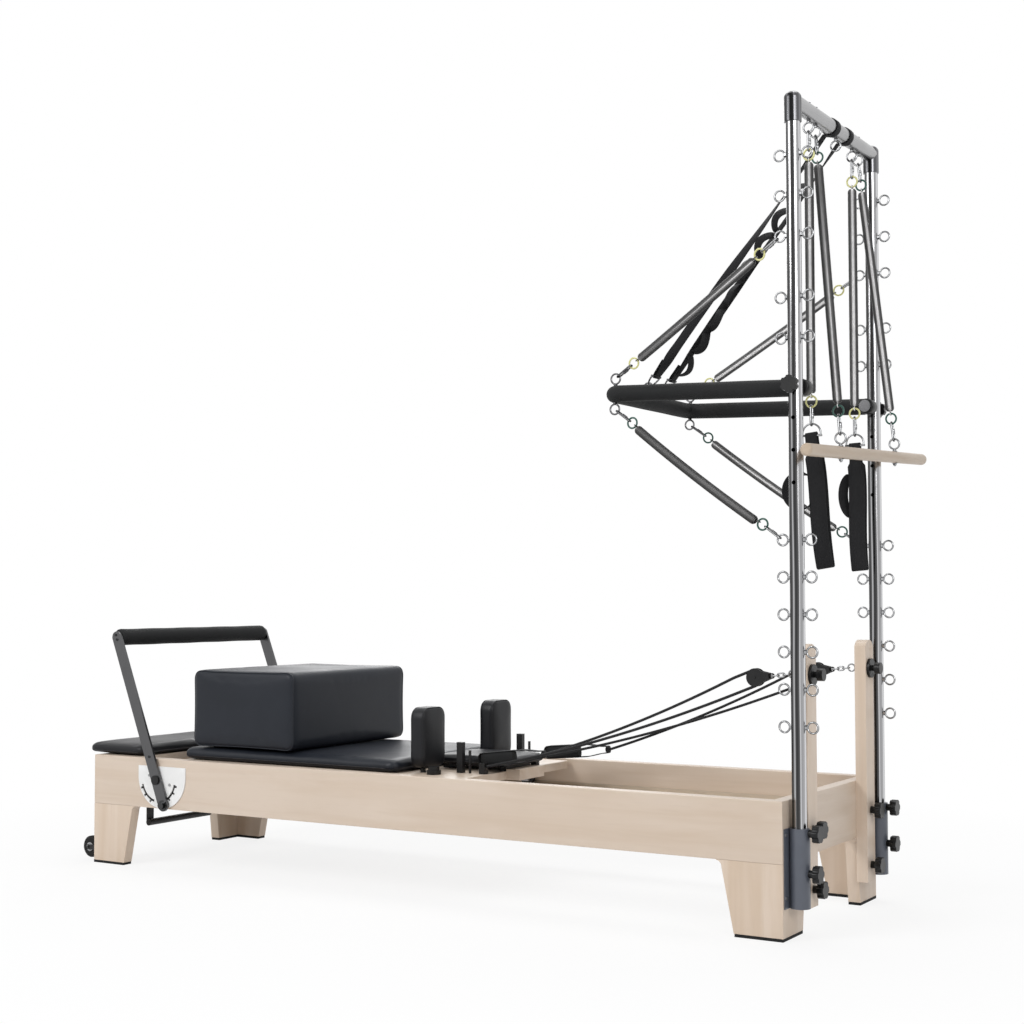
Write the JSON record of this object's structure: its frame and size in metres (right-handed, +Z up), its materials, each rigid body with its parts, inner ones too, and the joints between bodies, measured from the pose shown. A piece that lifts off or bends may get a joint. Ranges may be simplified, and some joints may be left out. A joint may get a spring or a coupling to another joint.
{
  "type": "pilates reformer with tower",
  "caption": "Wooden pilates reformer with sliding carriage, footbar, sitting box and rope pulleys, and a half trapeze tower with push-through bar, springs, foot loops and roll-down bar.",
  "frame": {"origin": "on the floor, at mid width, near the middle of the overall length", "axes": "+X from the foot end to the head end where the tower stands, +Y to the far side, +Z up"},
  "size_m": [2.6039, 0.9296, 2.163],
  "materials": {
    "maple": "clear satin lacquer",
    "dowel_wood": "clear satin lacquer",
    "vinyl": "blue-black upholstery vinyl over foam",
    "foam": "black cellular grip foam",
    "webbing": "black woven webbing",
    "rope": "black braided rope",
    "rubber": "matt black",
    "wheel_plastic": "black tread",
    "black_plastic": "black moulded",
    "aluminium": "mill finish",
    "black_steel": "black powder coat",
    "white_steel": "white powder coat",
    "slate_paint": "dark blue-grey satin paint",
    "satin_steel": "satin",
    "spring_steel": "bare spring wire",
    "chrome": "polished",
    "yellow_paint": "pale yellow coat",
    "green_paint": "dark green coat"
  },
  "bodies": {
    "frame": {"side_rails": "maple", "end_boards": "maple", "legs": "maple", "foot_pads": "rubber", "tracks": "aluminium", "lift_handle": "black_steel", "foot_platform": "maple", "foot_platform_pad": "vinyl", "slot_plates": "white_steel", "frame_screws": "satin_steel", "spring_bar": "satin_steel", "carriage_springs": "spring_steel", "rope_near": "rope", "rope_far": "rope", "pulley_blocks": "black_plastic", "pulley_chains": "chrome", "poles": "chrome", "pole_sleeves": "slate_paint", "corner_fittings": "chrome", "crossbar": "satin_steel", "crossbar_eyebolts": "chrome", "pole_eyebolts": "chrome", "risers": "maple", "riser_discs": "black_plastic", "clamp_knobs": "black_plastic", "push_springs_upper": "spring_steel", "push_springs_lower": "spring_steel", "rings_yellow_poles": "yellow_paint", "rings_green_poles": "green_paint", "safety_strap": "webbing"},
    "transport_roller": {"transport_wheels": "rubber"},
    "footbar": {"footbar_arms": "satin_steel", "footbar_grip": "foam", "footbar_pins": "chrome"},
    "carriage": {"carriage_board": "maple", "carriage_pad": "vinyl", "shoulder_rests": "vinyl", "rest_posts": "black_plastic", "wheel_axles": "satin_steel", "rope_cleats": "black_plastic", "handles": "webbing"},
    "foot_wheels": {"load_wheels_foot": "wheel_plastic"},
    "head_wheels": {"load_wheels_head": "wheel_plastic"},
    "head_pad": {"headrest": "vinyl"},
    "box": {"sitting_box": "vinyl"},
    "sheave_near": {"pulley_sheave_near": "satin_steel"},
    "sheave_far": {"pulley_sheave_far": "satin_steel"},
    "push_bar": {"pushbar_frame": "foam", "pushbar_fittings": "chrome", "rings_yellow_bar": "yellow_paint", "rings_green_bar": "green_paint"},
    "loop_near": {"loop_spring_near": "spring_steel", "loop_rings_near": "yellow_paint", "loop_strap_near": "webbing"},
    "loop_far": {"loop_spring_far": "spring_steel", "loop_rings_far": "yellow_paint", "loop_strap_far": "webbing"},
    "roll_down": {"rolldown_springs": "spring_steel", "rolldown_rings": "green_paint", "rolldown_bar": "dowel_wood"}
  },
  "joints": [
    {"name": "carriage_slide", "type": "slide", "parent": "frame", "child": "carriage", "axis": [1, 0, 0], "range_m": [0, 0.65], "stiffness_N_per_m": 300, "springref_m": -0.05, "deforming": ["carriage_springs", "rope_near", "rope_far"]},
    {"name": "box_lift", "type": "slide", "parent": "carriage", "child": "box", "axis": [0, 0, 1], "range_m": [0, 0.3]},
    {"name": "headrest_tilt", "type": "hinge", "parent": "carriage", "child": "head_pad", "pos_m": [-0.049, 0, 0.394], "axis": [0, -1, 0], "range_deg": [0, 25]},
    {"name": "foot_wheel_spin", "type": "hinge", "parent": "carriage", "child": "foot_wheels", "pos_m": [-0.78, 0, 0.29], "axis": [0, 1, 0], "continuous": true},
    {"name": "head_wheel_spin", "type": "hinge", "parent": "carriage", "child": "head_wheels", "pos_m": [0.05, 0, 0.29], "axis": [0, 1, 0], "continuous": true},
    {"name": "footbar_swing", "type": "hinge", "parent": "frame", "child": "footbar", "pos_m": [-0.939, 0, 0.2836], "axis": [0, 1, 0], "range_deg": [-48, 20]},
    {"name": "transport_wheel_spin", "type": "hinge", "parent": "frame", "child": "transport_roller", "pos_m": [-1.263, 0, 0.044], "axis": [0, 1, 0], "continuous": true},
    {"name": "sheave_near_spin", "type": "hinge", "parent": "frame", "child": "sheave_near", "pos_m": [1.05346, -0.222, 0.65233], "axis": [0, 1, 0], "continuous": true},
    {"name": "sheave_far_spin", "type": "hinge", "parent": "frame", "child": "sheave_far", "pos_m": [1.05346, 0.222, 0.65233], "axis": [0, 1, 0], "continuous": true},
    {"name": "push_bar_swing", "type": "hinge", "parent": "frame", "child": "push_bar", "pos_m": [1.2015, 0, 1.402], "axis": [0, 1, 0], "range_deg": [0, 30], "deforming": ["push_springs_upper", "push_springs_lower", "safety_strap"]},
    {"name": "loop_near_swing", "type": "hinge", "parent": "frame", "child": "loop_near", "pos_m": [1.2015, -0.19, 2.095], "axis": [0, 1, 0], "range_deg": [-1, 25]},
    {"name": "loop_far_swing", "type": "hinge", "parent": "frame", "child": "loop_far", "pos_m": [1.2015, 0.14, 2.095], "axis": [0, 1, 0], "range_deg": [-1, 25]},
    {"name": "roll_down_swing", "type": "hinge", "parent": "frame", "child": "roll_down", "pos_m": [1.2015, 0, 2.095], "axis": [0, -1, 0], "range_deg": [0, 40]}
  ],
  "couplings": [
    {"joint": "foot_wheel_spin", "follows": "carriage_slide", "rad_per_m": 41.667},
    {"joint": "head_wheel_spin", "follows": "carriage_slide", "rad_per_m": 41.667}
  ]
}
